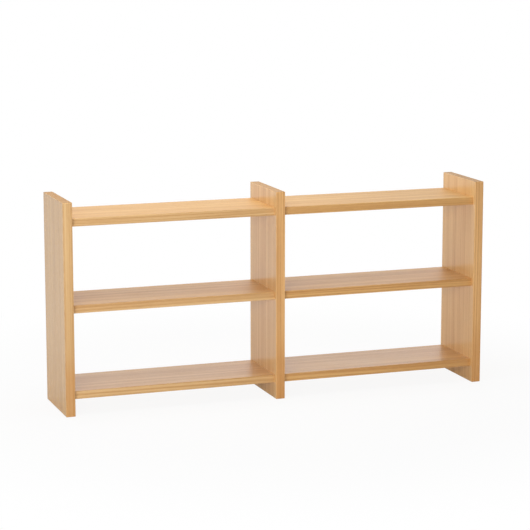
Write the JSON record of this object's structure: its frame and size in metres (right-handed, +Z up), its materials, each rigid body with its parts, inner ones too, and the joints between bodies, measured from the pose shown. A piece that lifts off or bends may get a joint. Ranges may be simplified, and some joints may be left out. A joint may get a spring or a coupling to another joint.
{
  "type": "wall shelf",
  "caption": "Open oak wall shelf: plain uprights carry tiers of shelf boards in side-by-side bays, with steel keyhole hangers let into its back edges.",
  "frame": {"origin": "on the floor under the middle of the shelf, at the bottom centre of its bounding box", "axes": "+X to the right along the shelf's width, +Y to the back, towards the wall, +Z up"},
  "size_m": [0.9, 0.16, 0.428],
  "materials": {
    "upright_oak": "satin lacquered oak, grain upright",
    "shelf_oak": "satin lacquered oak, grain lengthwise",
    "dowel_beech": "bare fluted beech",
    "hanger_steel": "bright zinc plated",
    "screw_steel": "zinc plated"
  },
  "bodies": {
    "root": {"left_upright": "upright_oak", "middle_upright": "upright_oak", "right_upright": "upright_oak", "bottom_left_shelf": "shelf_oak", "bottom_right_shelf": "shelf_oak", "middle_left_shelf": "shelf_oak", "middle_right_shelf": "shelf_oak", "top_left_shelf": "shelf_oak", "top_right_shelf": "shelf_oak", "bottom_left_dowels": "dowel_beech", "bottom_middle_dowels": "dowel_beech", "bottom_right_dowels": "dowel_beech", "middle_left_dowels": "dowel_beech", "middle_middle_dowels": "dowel_beech", "middle_right_dowels": "dowel_beech", "top_left_dowels": "dowel_beech", "top_middle_dowels": "dowel_beech", "top_right_dowels": "dowel_beech", "left_hanger_plate": "hanger_steel", "right_hanger_plate": "hanger_steel", "left_hanger_screws": "screw_steel", "right_hanger_screws": "screw_steel"}
  },
  "joints": []
}
